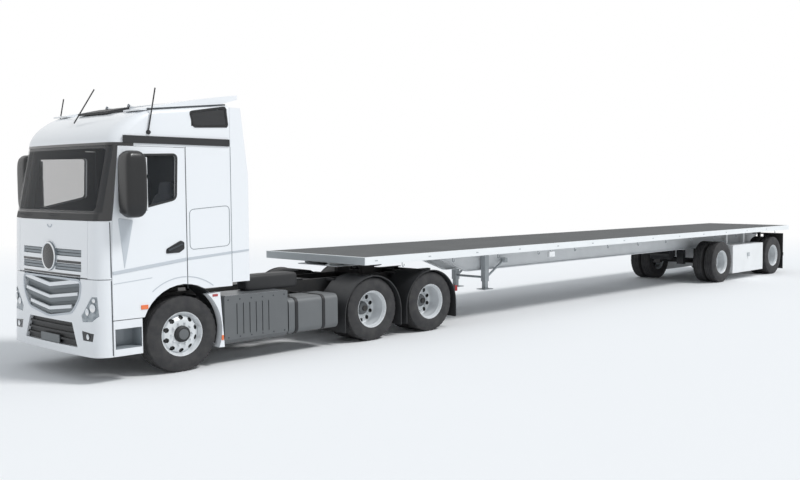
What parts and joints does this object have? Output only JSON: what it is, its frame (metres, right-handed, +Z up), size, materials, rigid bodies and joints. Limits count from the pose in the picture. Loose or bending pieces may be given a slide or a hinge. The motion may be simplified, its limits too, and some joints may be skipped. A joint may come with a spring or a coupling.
{
  "type": "articulated semi truck with flatbed trailer",
  "caption": "Cab-over tractor unit coupled to a long flatbed semi-trailer, with steered front wheels, rolling axles, opening doors, a lifting front flap and drop-down toolbox lids.",
  "frame": {"origin": "on the road under the middle of the whole vehicle's box", "axes": "+X forward along the vehicle, +Y to the driver's left, +Z up"},
  "size_m": [20.458, 3.16, 3.7889],
  "materials": {
    "white_paint": "gloss white paint",
    "black_plastic": "moulded black plastic",
    "grille_plastic": "grey grille plastic",
    "lamp_lens": "clear lamp lenses",
    "clear_glass": "clear glazing",
    "cab_trim": "grey cab trim",
    "seat_cloth": "dark woven seat covers",
    "dark_metal": "chassis black",
    "engine_metal": "painted castings",
    "coupling_metal": "greased casting",
    "box_grey": "satin grey",
    "tank_metal": "satin aluminium",
    "trailer_paint": "light grey paint",
    "deck_boards": "weathered dark boards",
    "rail_metal": "pale rail with reflective marks",
    "toolbox_paint": "white paint",
    "tyre_rubber": "black rubber",
    "wheel_metal": "silver wheels"
  },
  "bodies": {
    "tractor": {"chassis_frame": "dark_metal", "axles": "dark_metal", "suspension": "dark_metal", "powertrain": "engine_metal", "front_bumper": "white_paint", "front_grilles": "grille_plastic", "lamps": "lamp_lens", "side_panels": "white_paint", "mudguards": "black_plastic", "side_boxes": "box_grey", "fuel_tanks": "tank_metal", "fifth_wheel": "coupling_metal", "cab_shell": "white_paint", "cab_roof": "white_paint", "cab_glass": "clear_glass", "cab_fairings": "white_paint", "cab_fittings": "black_plastic", "cab_interior": "cab_trim", "cab_seats": "seat_cloth"},
    "trailer": {"trailer_frame": "trailer_paint", "trailer_deck": "deck_boards", "deck_rails": "rail_metal", "landing_gear": "trailer_paint", "trailer_axles": "dark_metal", "toolboxes": "toolbox_paint", "rear_guard": "dark_metal"},
    "flap": {"front_flap": "white_paint", "flap_grille": "grille_plastic"},
    "track_rod": {"track_rod": "dark_metal"},
    "door_left": {"door_left": "white_paint", "door_glass_left": "clear_glass", "door_fittings_left": "black_plastic"},
    "knuckle_left": {"knuckle_left": "dark_metal"},
    "wheel_front_left": {"tyre_front_left": "tyre_rubber", "rim_front_left": "wheel_metal"},
    "toolbox_lid_left": {"toolbox_door_left": "toolbox_paint"},
    "wheels_drive_1_left": {"tyres_drive_1_left": "tyre_rubber", "rims_drive_1_left": "wheel_metal"},
    "wheels_drive_2_left": {"tyres_drive_2_left": "tyre_rubber", "rims_drive_2_left": "wheel_metal"},
    "wheels_trailer_1_left": {"tyres_trailer_1_left": "tyre_rubber", "rims_trailer_1_left": "wheel_metal"},
    "wheels_trailer_2_left": {"tyres_trailer_2_left": "tyre_rubber", "rims_trailer_2_left": "wheel_metal"},
    "door_right": {"door_right": "white_paint", "door_glass_right": "clear_glass", "door_fittings_right": "black_plastic"},
    "knuckle_right": {"knuckle_right": "dark_metal"},
    "wheel_front_right": {"tyre_front_right": "tyre_rubber", "rim_front_right": "wheel_metal"},
    "toolbox_lid_right": {"toolbox_door_right": "toolbox_paint"},
    "wheels_drive_1_right": {"tyres_drive_1_right": "tyre_rubber", "rims_drive_1_right": "wheel_metal"},
    "wheels_drive_2_right": {"tyres_drive_2_right": "tyre_rubber", "rims_drive_2_right": "wheel_metal"},
    "wheels_trailer_1_right": {"tyres_trailer_1_right": "tyre_rubber", "rims_trailer_1_right": "wheel_metal"},
    "wheels_trailer_2_right": {"tyres_trailer_2_right": "tyre_rubber", "rims_trailer_2_right": "wheel_metal"}
  },
  "joints": [
    {"name": "trailer_turn", "type": "hinge", "parent": "tractor", "child": "trailer", "pos_m": [5.039, 0, 1.16], "axis": [0, 0, 1], "range_deg": [-90, 90]},
    {"name": "flap_lift", "type": "hinge", "parent": "tractor", "child": "flap", "pos_m": [10.17788, 0, 2.044], "axis": [0, -1, 0], "range_deg": [0, 75]},
    {"name": "steer_left", "type": "hinge", "parent": "tractor", "child": "knuckle_left", "pos_m": [9.014, 0.85, 0.507], "axis": [0, 0, 1], "range_deg": [-40, 40]},
    {"name": "spin_front_left", "type": "hinge", "parent": "knuckle_left", "child": "wheel_front_left", "pos_m": [9.014, 1.0425, 0.507], "axis": [0, 1, 0], "continuous": true},
    {"name": "door_left_open", "type": "hinge", "parent": "tractor", "child": "door_left", "pos_m": [9.959, 1.245, 1.9], "axis": [0, 0, -1], "range_deg": [0, 75]},
    {"name": "toolbox_left_open", "type": "hinge", "parent": "trailer", "child": "toolbox_lid_left", "pos_m": [-7.767, 1.245, 0.19], "axis": [-1, 0, 0], "range_deg": [0, 90]},
    {"name": "spin_drive_1_left", "type": "hinge", "parent": "tractor", "child": "wheels_drive_1_left", "pos_m": [5.694, 0.925, 0.507], "axis": [0, 1, 0], "continuous": true},
    {"name": "spin_drive_2_left", "type": "hinge", "parent": "tractor", "child": "wheels_drive_2_left", "pos_m": [4.384, 0.925, 0.507], "axis": [0, 1, 0], "continuous": true},
    {"name": "spin_trailer_1_left", "type": "hinge", "parent": "trailer", "child": "wheels_trailer_1_left", "pos_m": [-6.217, 0.95, 0.525], "axis": [0, 1, 0], "continuous": true},
    {"name": "spin_trailer_2_left", "type": "hinge", "parent": "trailer", "child": "wheels_trailer_2_left", "pos_m": [-9.317, 0.95, 0.525], "axis": [0, 1, 0], "continuous": true},
    {"name": "steer_right", "type": "hinge", "parent": "tractor", "child": "knuckle_right", "pos_m": [9.014, -0.85, 0.507], "axis": [0, 0, 1], "range_deg": [-40, 40]},
    {"name": "spin_front_right", "type": "hinge", "parent": "knuckle_right", "child": "wheel_front_right", "pos_m": [9.014, -1.0425, 0.507], "axis": [0, 1, 0], "continuous": true},
    {"name": "door_right_open", "type": "hinge", "parent": "tractor", "child": "door_right", "pos_m": [9.959, -1.245, 1.9], "axis": [0, 0, 1], "range_deg": [0, 75]},
    {"name": "toolbox_right_open", "type": "hinge", "parent": "trailer", "child": "toolbox_lid_right", "pos_m": [-7.767, -1.245, 0.19], "axis": [1, 0, 0], "range_deg": [0, 90]},
    {"name": "spin_drive_1_right", "type": "hinge", "parent": "tractor", "child": "wheels_drive_1_right", "pos_m": [5.694, -0.925, 0.507], "axis": [0, 1, 0], "continuous": true},
    {"name": "spin_drive_2_right", "type": "hinge", "parent": "tractor", "child": "wheels_drive_2_right", "pos_m": [4.384, -0.925, 0.507], "axis": [0, 1, 0], "continuous": true},
    {"name": "spin_trailer_1_right", "type": "hinge", "parent": "trailer", "child": "wheels_trailer_1_right", "pos_m": [-6.217, -0.95, 0.525], "axis": [0, 1, 0], "continuous": true},
    {"name": "spin_trailer_2_right", "type": "hinge", "parent": "trailer", "child": "wheels_trailer_2_right", "pos_m": [-9.317, -0.95, 0.525], "axis": [0, 1, 0], "continuous": true},
    {"name": "track_rod_turn", "type": "hinge", "parent": "knuckle_left", "child": "track_rod", "pos_m": [8.814, 0.85, 0.377], "axis": [0, 0, 1], "range_deg": [-40, 40]}
  ],
  "couplings": [
    {"joint": "steer_right", "follows": "steer_left", "ratio": 1},
    {"joint": "track_rod_turn", "follows": "steer_left", "ratio": -1}
  ]
}
